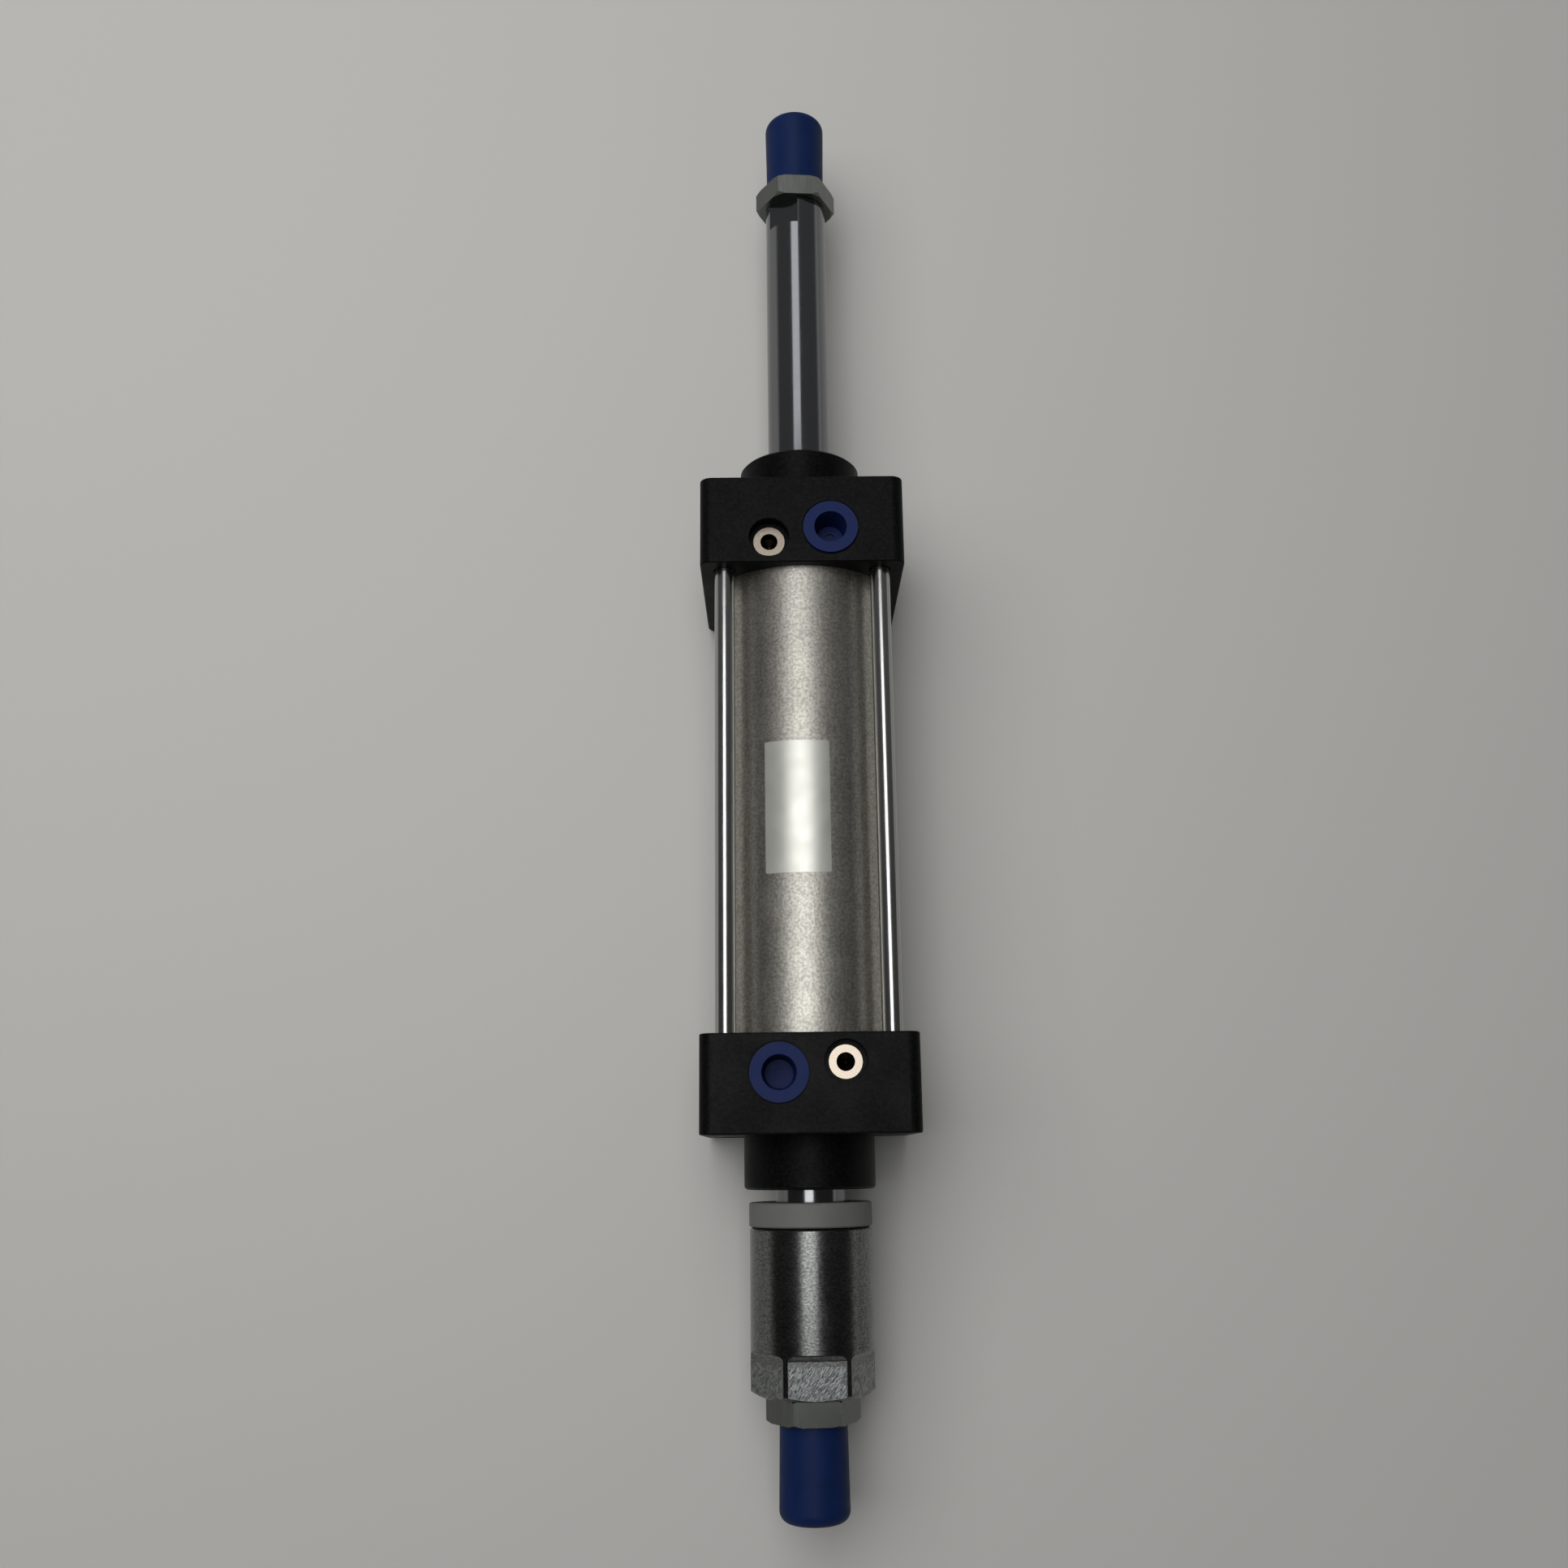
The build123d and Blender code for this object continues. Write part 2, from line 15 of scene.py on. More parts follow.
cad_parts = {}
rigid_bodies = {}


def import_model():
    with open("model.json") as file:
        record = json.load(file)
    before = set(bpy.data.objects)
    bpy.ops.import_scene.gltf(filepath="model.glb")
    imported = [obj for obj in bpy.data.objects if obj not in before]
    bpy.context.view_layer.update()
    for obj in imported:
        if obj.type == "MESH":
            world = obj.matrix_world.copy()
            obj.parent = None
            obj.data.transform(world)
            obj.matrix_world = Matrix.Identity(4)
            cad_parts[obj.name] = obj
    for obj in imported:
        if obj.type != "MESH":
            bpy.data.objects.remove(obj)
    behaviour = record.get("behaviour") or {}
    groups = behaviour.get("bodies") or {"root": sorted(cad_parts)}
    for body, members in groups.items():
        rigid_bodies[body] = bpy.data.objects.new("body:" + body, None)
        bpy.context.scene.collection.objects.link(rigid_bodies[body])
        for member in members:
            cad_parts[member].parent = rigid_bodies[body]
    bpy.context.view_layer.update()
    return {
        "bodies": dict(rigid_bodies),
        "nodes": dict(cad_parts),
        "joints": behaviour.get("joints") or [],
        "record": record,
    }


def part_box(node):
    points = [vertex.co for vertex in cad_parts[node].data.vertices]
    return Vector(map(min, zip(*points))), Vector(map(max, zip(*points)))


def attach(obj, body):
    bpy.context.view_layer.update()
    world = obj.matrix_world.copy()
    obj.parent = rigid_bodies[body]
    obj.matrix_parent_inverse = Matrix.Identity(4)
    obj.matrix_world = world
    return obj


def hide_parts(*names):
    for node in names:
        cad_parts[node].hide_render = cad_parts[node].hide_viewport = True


log = logging.getLogger("pneumatic_cylinder")

MM = 0.001
TURN_STEPS = 128
WELD = 1e-7
SHARP_EDGE = math.radians(32)

Tree = bpy.types.NodeTree
Socket = bpy.types.NodeSocket
Colour = tuple[float, float, float, float]


class Body(Enum):
    """The bodies of the frame that new pieces ride on."""

    BARREL = "barrel"
    ROD = "rod"


class Along(Enum):
    """The way the marks of a tool run on a metal surface, as a stretch of the pattern."""

    AXIS = (1.0, 0.04, 1.0)
    ROUND = (0.02, 1.0, 0.02)
    ROUND_BROKEN = (0.6, 1.0, 0.6)


def linear(hex_colour: str) -> Colour:
    """Turn an sRGB hex colour into the linear colour that a shader takes.

    Args:
        hex_colour: Six hex digits after a hash sign.

    Returns:
        Red, green, blue and alpha.
    """
    parts = [int(hex_colour[i : i + 2], 16) / 255 for i in (1, 3, 5)]
    red, green, blue = (c / 12.92 if c <= 0.04045 else ((c + 0.055) / 1.055) ** 2.4 for c in parts)
    return red, green, blue, 1.0


def per_size(size_mm: float) -> float:
    """Give the texture scale at which one feature of a pattern is as large as a real size.

    Args:
        size_mm: The size of a grain, mark or wave in millimetres.

    Returns:
        The scale for a texture on Object coordinates in metres.
    """
    return 1.0 / (size_mm * MM)


def add_node(
    tree: Tree,
    kind: str,
    settings: dict | None = None,
    links: dict | None = None,
) -> bpy.types.Node:
    """Add one shader node.

    Args:
        tree: The material's node tree.
        kind: The node's type name.
        settings: Values by property name, or by input name or number.
        links: Output sockets by input name or number.

    Returns:
        The new node.
    """
    node = tree.nodes.new(kind)
    for name, value in (settings or {}).items():
        if isinstance(name, str) and hasattr(node, name):
            setattr(node, name, value)
        else:
            node.inputs[name].default_value = value
    for name, socket in (links or {}).items():
        tree.links.new(socket, node.inputs[name])
    return node


def mirror_rays(tree: Tree, path: bpy.types.Node) -> Socket:
    """Tell the rays that have come by way of metal or glass.

    Args:
        tree: The node tree of a material or the world.
        path: Its Light Path node.

    Returns:
        One for such a ray, nought for any other.
    """
    either = add_node(
        tree,
        "ShaderNodeMath",
        {"operation": "MAXIMUM"},
        {0: path.outputs["Is Glossy Ray"], 1: path.outputs["Is Transmission Ray"]},
    )
    return either.outputs["Value"]


@dataclass(frozen=True)
class Finish:
    """A surface finish with a plain Principled shader, which subclasses give their pattern.

    The roughness runs from its value less `smoother` to its value with `duller` added.
    """

    name: str
    colour: str
    metallic: float = 0.0
    roughness: float = 0.5
    specular: float = 0.5
    glow: float = 0.0
    smoother: float = 0.03
    duller: float = 0.03

    def build(self) -> bpy.types.Material:
        """Make the material.

        Returns:
            The new material, with its pattern.
        """
        material = bpy.data.materials.new(self.name)
        material.use_nodes = True
        tree = material.node_tree
        tree.nodes.clear()
        place = add_node(tree, "ShaderNodeTexCoord").outputs["Object"]
        pattern = self.pattern(tree, place)
        constants = {
            "Base Color": linear(self.colour),
            "Metallic": self.metallic,
            "Roughness": self.roughness,
            "Specular IOR Level": self.specular,
            "Emission Strength": self.glow,
        }
        plain = {name: value for name, value in constants.items() if name not in pattern}
        shader = add_node(tree, "ShaderNodeBsdfPrincipled", plain, pattern)
        add_node(tree, "ShaderNodeOutputMaterial", links={"Surface": shader.outputs["BSDF"]})
        return material

    def pattern(self, tree: Tree, place: Socket) -> dict[str, Socket]:
        """Lay the finish's pattern.

        Args:
            tree: The material's node tree.
            place: The Object coordinates.

        Returns:
            What drives the shader, by the name of its input. The plain finish has nothing.
        """
        return {}

    def uneven(self, tree: Tree, clouds: Socket) -> Socket:
        """Make the roughness uneven.

        Args:
            tree: The material's node tree.
            clouds: The noise that says where the surface is smoother and where duller.

        Returns:
            The roughness.
        """
        dull = add_node(
            tree,
            "ShaderNodeMapRange",
            {
                "From Min": 0.3,
                "From Max": 0.7,
                "To Min": self.roughness - self.smoother,
                "To Max": self.roughness + self.duller,
            },
            {"Value": clouds},
        )
        return dull.outputs["Result"]


@dataclass(frozen=True)
class PaintedCasting(Finish):
    """Black stoving paint on a die-cast cover."""

    smoother: float = 0.06
    duller: float = 0.08
    grain_mm: float = 0.8
    grain_depth_mm: float = 0.03
    cloud_mm: float = 14.0
    light_colour: str = "#0c0d0e"

    def pattern(self, tree: Tree, place: Socket) -> dict[str, Socket]:
        """Give the paint its grain, drawn a little coarse so that it shows, and dull patches."""
        peel = add_node(
            tree,
            "ShaderNodeTexNoise",
            {"Scale": per_size(self.grain_mm), "Detail": 3.0},
            {"Vector": place},
        )
        clouds = add_node(
            tree,
            "ShaderNodeTexNoise",
            {"Scale": per_size(self.cloud_mm), "Detail": 3.0},
            {"Vector": place},
        )
        specks = add_node(
            tree,
            "ShaderNodeMapRange",
            {"From Min": 0.4, "From Max": 0.65},
            {"Value": peel.outputs["Fac"]},
        )
        tone = add_node(
            tree,
            "ShaderNodeMix",
            {"data_type": "RGBA", 6: linear(self.colour), 7: linear(self.light_colour)},
            {0: specks.outputs["Result"]},
        )
        bump = add_node(
            tree,
            "ShaderNodeBump",
            {"Distance": self.grain_depth_mm * MM, "Strength": 0.7},
            {"Height": peel.outputs["Fac"]},
        )
        return {
            "Roughness": self.uneven(tree, clouds.outputs["Fac"]),
            "Base Color": tone.outputs[2],
            "Normal": bump.outputs["Normal"],
        }


@dataclass(frozen=True)
class AnodisedTube(Finish):
    """Drawn aluminium tube, etched and clear anodised."""

    grain_mm: float = 0.8
    grain_depth_mm: float = 0.07
    grain_share: float = 0.5
    line_mm: float = 0.5
    line_share: float = 0.35
    plain_share: float = 0.3
    cloud_mm: float = 9.0
    dark_colour: str = "#74726d"

    def pattern(self, tree: Tree, place: Socket) -> dict[str, Socket]:
        """Give the tube its sandy grain, a little coarse so that it shows, and faint drawing lines."""
        stretched = add_node(tree, "ShaderNodeMapping", {"Scale": Along.AXIS.value}, {"Vector": place})
        sand = add_node(
            tree,
            "ShaderNodeTexNoise",
            {"Scale": per_size(self.grain_mm), "Detail": 2.0},
            {"Vector": place},
        )
        lines = add_node(
            tree,
            "ShaderNodeTexNoise",
            {"Scale": per_size(self.line_mm), "Detail": 2.0},
            {"Vector": stretched.outputs["Vector"]},
        )
        clouds = add_node(
            tree,
            "ShaderNodeTexNoise",
            {"Scale": per_size(self.cloud_mm), "Detail": 3.0},
            {"Vector": place},
        )
        grains = add_node(
            tree,
            "ShaderNodeMapRange",
            {"From Min": 0.35, "From Max": 0.65},
            {"Value": sand.outputs["Fac"]},
        )
        mottle = add_node(
            tree,
            "ShaderNodeMath",
            {"operation": "MULTIPLY_ADD", 1: self.line_share, 2: self.plain_share},
            {0: lines.outputs["Fac"]},
        )
        both = add_node(
            tree,
            "ShaderNodeMath",
            {"operation": "MULTIPLY_ADD", 1: self.grain_share},
            {0: grains.outputs["Result"], 2: mottle.outputs["Value"]},
        )
        tone = add_node(
            tree,
            "ShaderNodeMix",
            {"data_type": "RGBA", 6: linear(self.dark_colour), 7: linear(self.colour)},
            {0: both.outputs["Value"]},
        )
        bump = add_node(
            tree,
            "ShaderNodeBump",
            {"Distance": self.grain_depth_mm * MM, "Strength": 0.6},
            {"Height": sand.outputs["Fac"]},
        )
        return {
            "Roughness": self.uneven(tree, clouds.outputs["Fac"]),
            "Base Color": tone.outputs[2],
            "Normal": bump.outputs["Normal"],
        }


@dataclass(frozen=True)
class ToolMarked(Finish):
    """A metal with the marks of the tool that made it, all running one way."""

    along: Along = Along.ROUND
    mark_mm: float = 0.3
    mark_depth_mm: float = 0.004
    smear_mm: float = 6.0
    tone_band: float = 1.0
    dark_colour: str = "#7a7c7c"

    def pattern(self, tree: Tree, place: Socket) -> dict[str, Socket]:
        """Give the metal its tool marks, and smears that dull it here and there."""
        stretched = add_node(tree, "ShaderNodeMapping", {"Scale": self.along.value}, {"Vector": place})
        marks = add_node(
            tree,
            "ShaderNodeTexNoise",
            {"Scale": per_size(self.mark_mm), "Detail": 2.0},
            {"Vector": stretched.outputs["Vector"]},
        )
        smears = add_node(
            tree,
            "ShaderNodeTexNoise",
            {"Scale": per_size(self.smear_mm), "Detail": 4.0},
            {"Vector": place},
        )
        contrast = add_node(
            tree,
            "ShaderNodeMapRange",
            {"From Min": 0.5 - self.tone_band / 2, "From Max": 0.5 + self.tone_band / 2},
            {"Value": marks.outputs["Fac"]},
        )
        tone = add_node(
            tree,
            "ShaderNodeMix",
            {"data_type": "RGBA", 6: linear(self.dark_colour), 7: linear(self.colour)},
            {0: contrast.outputs["Result"]},
        )
        bump = add_node(
            tree,
            "ShaderNodeBump",
            {"Distance": self.mark_depth_mm * MM, "Strength": 0.8},
            {"Height": marks.outputs["Fac"]},
        )
        return {
            "Roughness": self.uneven(tree, smears.outputs["Fac"]),
            "Base Color": tone.outputs[2],
            "Normal": bump.outputs["Normal"],
        }


@dataclass(frozen=True)
class MilledSleeve(ToolMarked):
    """Turned steel whose end is milled to a hexagon: lathe rings, and a torn grey finish on the flats."""

    turned_radius_mm: float = 17.35
    flats_from_y_mm: float = -255.5
    tear_mm: float = 0.55
    tear_depth_mm: float = 0.1
    tear_stretch: float = 2.6
    tear_slant: float = 58.0
    milled_roughness: float = 0.34
    milled_colour: str = "#929595"
    torn_colour: str = "#5d6060"

    def pattern(self, tree: Tree, place: Socket) -> dict[str, Socket]:
        """Lay the lathe's pattern, and change it on the flats."""
        turned = super().pattern(tree, place)
        milled = self.milled_area(tree, place)
        tears = self.torn_marks(tree, place)
        torn_band = add_node(
            tree,
            "ShaderNodeMapRange",
            {"From Min": 0.38, "From Max": 0.6},
            {"Value": tears},
        )
        milled_tone = add_node(
            tree,
            "ShaderNodeMix",
            {"data_type": "RGBA", 6: linear(self.torn_colour), 7: linear(self.milled_colour)},
            {0: torn_band.outputs["Result"]},
        )
        rough = add_node(
            tree,
            "ShaderNodeMix",
            {"data_type": "FLOAT", 3: self.milled_roughness},
            {0: milled, 2: turned["Roughness"]},
        )
        tone = add_node(
            tree,
            "ShaderNodeMix",
            {"data_type": "RGBA"},
            {0: milled, 6: turned["Base Color"], 7: milled_tone.outputs[2]},
        )
        torn = add_node(tree, "ShaderNodeMath", {"operation": "MULTIPLY"}, {0: milled, 1: tears})
        bump = add_node(
            tree,
            "ShaderNodeBump",
            {"Distance": self.tear_depth_mm * MM, "Strength": 1.0},
            {"Height": torn.outputs["Value"], "Normal": turned["Normal"]},
        )
        return {
            "Roughness": rough.outputs[0],
            "Base Color": tone.outputs[2],
            "Normal": bump.outputs["Normal"],
        }

    def milled_area(self, tree: Tree, place: Socket) -> Socket:
        """Find the flats, which lie inside the turned radius on the sleeve's rear end.

        Args:
            tree: The material's node tree.
            place: The Object coordinates.

        Returns:
            One on the flats, nought elsewhere.
        """
        across = add_node(
            tree,
            "ShaderNodeVectorMath",
            {"operation": "MULTIPLY", 1: (1.0, 0.0, 1.0)},
            {0: place},
        )
        radius = add_node(
            tree,
            "ShaderNodeVectorMath",
            {"operation": "LENGTH"},
            {0: across.outputs["Vector"]},
        )
        inside = add_node(
            tree,
            "ShaderNodeMath",
            {"operation": "LESS_THAN", 1: self.turned_radius_mm * MM},
            {0: radius.outputs["Value"]},
        )
        parts = add_node(tree, "ShaderNodeSeparateXYZ", links={"Vector": place})
        behind = add_node(
            tree,
            "ShaderNodeMath",
            {"operation": "LESS_THAN", 1: self.flats_from_y_mm * MM},
            {0: parts.outputs["Y"]},
        )
        milled = add_node(
            tree,
            "ShaderNodeMath",
            {"operation": "MULTIPLY"},
            {0: inside.outputs["Value"], 1: behind.outputs["Value"]},
        )
        return milled.outputs["Value"]

    def torn_marks(self, tree: Tree, place: Socket) -> Socket:
        """Lay the short slanting marks that the cutter tore.

        Args:
            tree: The material's node tree.
            place: The Object coordinates.

        Returns:
            The marks' height, from nought to one.
        """
        slanted = add_node(
            tree,
            "ShaderNodeMapping",
            {
                "vector_type": "TEXTURE",
                "Rotation": (0.0, 0.0, math.radians(self.tear_slant)),
                "Scale": (self.tear_stretch, 1.0, self.tear_stretch),
            },
            {"Vector": place},
        )
        tears = add_node(
            tree,
            "ShaderNodeTexNoise",
            {"Scale": per_size(self.tear_mm), "Detail": 3.0, "Distortion": 0.8},
            {"Vector": slanted.outputs["Vector"]},
        )
        return tears.outputs["Fac"]


@dataclass(frozen=True)
class MouldedPlastic(Finish):
    """Injection-moulded or dipped plastic: an even colour with a slightly uneven skin."""

    smoother: float = 0.05
    duller: float = 0.06
    skin_mm: float = 1.5
    skin_depth_mm: float = 0.03
    cloud_mm: float = 5.0
    shade_colour: str = "#000000"

    def pattern(self, tree: Tree, place: Socket) -> dict[str, Socket]:
        """Give the plastic its uneven skin and tone."""
        skin = add_node(
            tree,
            "ShaderNodeTexNoise",
            {"Scale": per_size(self.skin_mm), "Detail": 3.0},
            {"Vector": place},
        )
        clouds = add_node(
            tree,
            "ShaderNodeTexNoise",
            {"Scale": per_size(self.cloud_mm), "Detail": 3.0},
            {"Vector": place},
        )
        tone = add_node(
            tree,
            "ShaderNodeMix",
            {"data_type": "RGBA", 6: linear(self.shade_colour), 7: linear(self.colour)},
            {0: clouds.outputs["Fac"]},
        )
        bump = add_node(
            tree,
            "ShaderNodeBump",
            {"Distance": self.skin_depth_mm * MM, "Strength": 0.6},
            {"Height": skin.outputs["Fac"]},
        )
        return {
            "Roughness": self.uneven(tree, clouds.outputs["Fac"]),
            "Base Color": tone.outputs[2],
            "Normal": bump.outputs["Normal"],
        }


@dataclass(frozen=True)
class PorousMetal(Finish):
    """A machined or sintered metal with fine pores or tool marks."""

    pore_mm: float = 0.3
    pore_depth_mm: float = 0.008
    shade_colour: str = "#404040"

    def pattern(self, tree: Tree, place: Socket) -> dict[str, Socket]:
        """Give the metal its fine marks."""
        pores = add_node(
            tree,
            "ShaderNodeTexNoise",
            {"Scale": per_size(self.pore_mm), "Detail": 3.0},
            {"Vector": place},
        )
        tone = add_node(
            tree,
            "ShaderNodeMix",
            {"data_type": "RGBA", 6: linear(self.shade_colour), 7: linear(self.colour)},
            {0: pores.outputs["Fac"]},
        )
        bump = add_node(
            tree,
            "ShaderNodeBump",
            {"Distance": self.pore_depth_mm * MM, "Strength": 0.5},
            {"Height": pores.outputs["Fac"]},
        )
        return {"Base Color": tone.outputs[2], "Normal": bump.outputs["Normal"]}


@dataclass(frozen=True)
class DrilledBrass(PorousMetal):
    """Turned brass whose drilled socket gets painted shade inside, standing in for the light that doesn't
    reach down there.
    """

    face_z_mm: float = 26.65
    fade_mm: float = 1.2
    # The colour of the painted shade deep in the socket.
    socket_colour: str = "#332d25"

    def pattern(self, tree: Tree, place: Socket) -> dict[str, Socket]:
        """Lay the turned marks, and paint shade on what lies below the face."""
        turned = super().pattern(tree, place)
        parts = add_node(tree, "ShaderNodeSeparateXYZ", links={"Vector": place})
        unshaded = add_node(
            tree,
            "ShaderNodeMapRange",
            {"From Min": (self.face_z_mm - self.fade_mm) * MM, "From Max": self.face_z_mm * MM},
            {"Value": parts.outputs["Z"]},
        )
        # Painted shade: below the face the socket takes a dark colour, which fades into the brass at the
        # face.
        tone = add_node(
            tree,
            "ShaderNodeMix",
            {"data_type": "RGBA", 6: linear(self.socket_colour)},
            {0: unshaded.outputs["Result"], 7: turned["Base Color"]},
        )
        return {"Base Color": tone.outputs[2], "Normal": turned["Normal"]}


@dataclass(frozen=True)
class LabelFilm(Finish):
    """Thin satin polyester label film."""

    smoother: float = 0.04
    duller: float = 0.05
    wave_mm: float = 7.0
    wave_depth_mm: float = 0.08

    def pattern(self, tree: Tree, place: Socket) -> dict[str, Socket]:
        """Give the film the slight waves of a label that was rubbed on by hand."""
        waves = add_node(
            tree,
            "ShaderNodeTexNoise",
            {"Scale": per_size(self.wave_mm), "Detail": 3.0},
            {"Vector": place},
        )
        bump = add_node(
            tree,
            "ShaderNodeBump",
            {"Distance": self.wave_depth_mm * MM, "Strength": 0.5},
            {"Height": waves.outputs["Fac"]},
        )
        return {
            "Roughness": self.uneven(tree, waves.outputs["Fac"]),
            "Normal": bump.outputs["Normal"],
        }


@dataclass(frozen=True)
class FadingTable(Finish):
    """A matt table top that gives way to the backdrop's colour far from the object."""

    backdrop_colour: str = "#ffffff"
    fade_from: float = 0.32
    fade_to: float = 1.0

    def pattern(self, tree: Tree, place: Socket) -> dict[str, Socket]:
        """Fade the far table for the camera, metal and glass; the light it throws stays the same."""
        away = add_node(tree, "ShaderNodeVectorMath", {"operation": "LENGTH"}, {0: place})
        far = add_node(
            tree,
            "ShaderNodeMapRange",
            {"interpolation_type": "SMOOTHSTEP", "From Min": self.fade_from, "From Max": self.fade_to},
            {"Value": away.outputs["Value"]},
        )
        path = add_node(tree, "ShaderNodeLightPath")
        seen = add_node(
            tree,
            "ShaderNodeMath",
            {"operation": "MAXIMUM"},
            {0: path.outputs["Is Camera Ray"], 1: mirror_rays(tree, path)},
        )
        faded = add_node(
            tree,
            "ShaderNodeMath",
            {"operation": "MULTIPLY"},
            {0: far.outputs["Result"], 1: seen.outputs["Value"]},
        )
        top = add_node(
            tree,
            "ShaderNodeMix",
            {"data_type": "RGBA", 6: linear(self.colour), 7: linear("#000000")},
            {0: faded.outputs["Value"]},
        )
        backdrop = add_node(
            tree,
            "ShaderNodeMix",
            {"data_type": "RGBA", 6: linear("#000000"), 7: linear(self.backdrop_colour)},
            {0: faded.outputs["Value"]},
        )
        sheen = add_node(
            tree,
            "ShaderNodeMath",
            {"operation": "MULTIPLY_ADD", 1: -self.specular, 2: self.specular},
            {0: faded.outputs["Value"]},
        )
        return {
            "Base Color": top.outputs[2],
            "Emission Color": backdrop.outputs[2],
            "Specular IOR Level": sheen.outputs["Value"],
        }


@dataclass(frozen=True)
class Palette:
    """The finishes by the record's material slot."""

    # Deep black with hardly any sheen, so that only its edges catch the light.
    black_paint: Finish = PaintedCasting(
        "black stoving paint on die-cast aluminium", "#040404", roughness=0.42, specular=0.08
    )
    # Warm silver that spreads the lamp's highlight into a broad soft band.
    anodised_tube: Finish = AnodisedTube(
        "clear anodised aluminium tube", "#c8c5bc", metallic=1.0, roughness=0.41
    )
    # Bright thin lines beside the tube, as sharp as the lamp itself.
    tie_rod_steel: Finish = ToolMarked(
        "bright drawn steel",
        "#b9b9b8",
        metallic=1.0,
        roughness=0.2,
        along=Along.AXIS,
        mark_mm=0.25,
        dark_colour="#a9a9a8",
    )
    # Grey nuts deep in the corners, a little brighter than the paint round them.
    tie_nut_steel: Finish = ToolMarked(
        "zinc plated steel nut", "#8d9090", metallic=1.0, roughness=0.35
    )
    # A dark clean mirror: one narrow highlight between two almost black bands.
    hard_chrome: Finish = ToolMarked(
        "ground hard chrome",
        "#828386",
        metallic=1.0,
        roughness=0.14,
        smoother=0.025,
        duller=0.025,
        mark_mm=0.35,
        mark_depth_mm=0.001,
        dark_colour="#7c7d80",
    )
    # Dull dark grey flats with upright drawing marks.
    zinc_nut: Finish = ToolMarked(
        "zinc plated hexagon nut",
        "#737672",
        metallic=1.0,
        roughness=0.26,
        along=Along.AXIS,
        mark_mm=0.4,
        mark_depth_mm=0.006,
        tone_band=0.8,
        dark_colour="#585b58",
    )
    # Dark grey, with a soft highlight that the broken lathe marks, drawn coarse, turn into fine grain.
    zinc_sleeve: Finish = MilledSleeve(
        "zinc plated turned steel",
        "#828381",
        metallic=1.0,
        roughness=0.25,
        along=Along.ROUND_BROKEN,
        mark_mm=0.5,
        mark_depth_mm=0.012,
        tone_band=0.34,
        dark_colour="#575a59",
    )
    # Even mid grey that stays flat in the light.
    grey_plastic: Finish = MouldedPlastic(
        "natural grey acetal", "#61625f", specular=0.25, shade_colour="#565755"
    )
    # Deep navy with hardly any sheen.
    blue_vinyl: Finish = MouldedPlastic(
        "dark blue dipped vinyl", "#0b1f4a", specular=0.12, shade_colour="#081838"
    )
    # Navy like the caps, dull and a little waxy.
    blue_polyethylene: Finish = MouldedPlastic(
        "blue moulded polyethylene", "#13214d", specular=0.12, shade_colour="#0e183b"
    )
    # Pinkish silver rings, the brightest small spots on the black covers.
    nickel_brass: Finish = DrilledBrass(
        "nickel plated turned brass",
        "#b0a699",
        metallic=1.0,
        roughness=0.24,
        shade_colour="#8c8174",
    )
    # Soft black, duller than the paint.
    seal_rubber: Finish = MouldedPlastic(
        "black nitrile rubber", "#161616", roughness=0.6, shade_colour="#0e0e0e"
    )
    # Brown bearing metal, dark with oil.
    sintered_bronze: Finish = PorousMetal(
        "oiled sintered bronze", "#a5773f", metallic=1.0, roughness=0.45, shade_colour="#7d5526"
    )
    # Clean pale metal, duller than the rods.
    piston_aluminium: Finish = ToolMarked(
        "turned aluminium", "#b5b5b3", metallic=1.0, roughness=0.35, dark_colour="#9a9a99"
    )
    # Bright rings round the rod, seen only in a section.
    cushion_steel: Finish = ToolMarked("turned steel", "#9a9a9a", metallic=1.0, roughness=0.3)
    # Charcoal, with no sheen.
    bonded_magnet: Finish = MouldedPlastic(
        "rubber bonded ferrite", "#2b2b2b", roughness=0.6, shade_colour="#222222"
    )
    # A tan band on the piston.
    wear_plastic: Finish = MouldedPlastic("filled acetal", "#8f8a72", shade_colour="#7d7862")

    def build(self) -> dict[str, bpy.types.Material]:
        """Make every material.

        Returns:
            The materials by slot name.
        """
        return {slot: getattr(self, slot).build() for slot in self.__dataclass_fields__}


def new_object(name: str, mesh_data: bmesh.types.BMesh, material: bpy.types.Material) -> bpy.types.Object:
    """Turn a finished bmesh into an object of the scene, with smooth faces and sharp edges.

    Args:
        name: The piece's name.
        mesh_data: The bmesh, which is freed.
        material: The piece's material.

    Returns:
        The new object.
    """
    bmesh.ops.recalc_face_normals(mesh_data, faces=mesh_data.faces)
    for face in mesh_data.faces:
        face.smooth = True
    for edge in mesh_data.edges:
        edge.smooth = len(edge.link_faces) == 2 and edge.calc_face_angle(0.0) < SHARP_EDGE
    mesh = bpy.data.meshes.new(name)
    mesh_data.to_mesh(mesh)
    mesh_data.free()
    mesh.materials.append(material)
    piece = bpy.data.objects.new(name, mesh)
    bpy.context.scene.collection.objects.link(piece)
    return piece


def turn_profile(
    mesh_data: bmesh.types.BMesh,
    profile: list[tuple[float, float]],
    steps: int = TURN_STEPS,
) -> None:
    """Spin an open or closed outline about the cylinder axis.

    Args:
        mesh_data: The bmesh that gets the turned shape.
        profile: Corners as (radius, y) in metres.
        steps: How many steps the full turn has.
    """
    verts = [mesh_data.verts.new((radius, y, 0.0)) for radius, y in profile]
    edges = [mesh_data.edges.new(pair) for pair in zip(verts, verts[1:])]
    bmesh.ops.spin(
        mesh_data,
        geom=verts + edges,
        cent=(0, 0, 0),
        axis=(0, 1, 0),
        angle=math.tau,
        steps=steps,
        use_merge=True,
    )
    bmesh.ops.remove_doubles(mesh_data, verts=mesh_data.verts, dist=WELD)


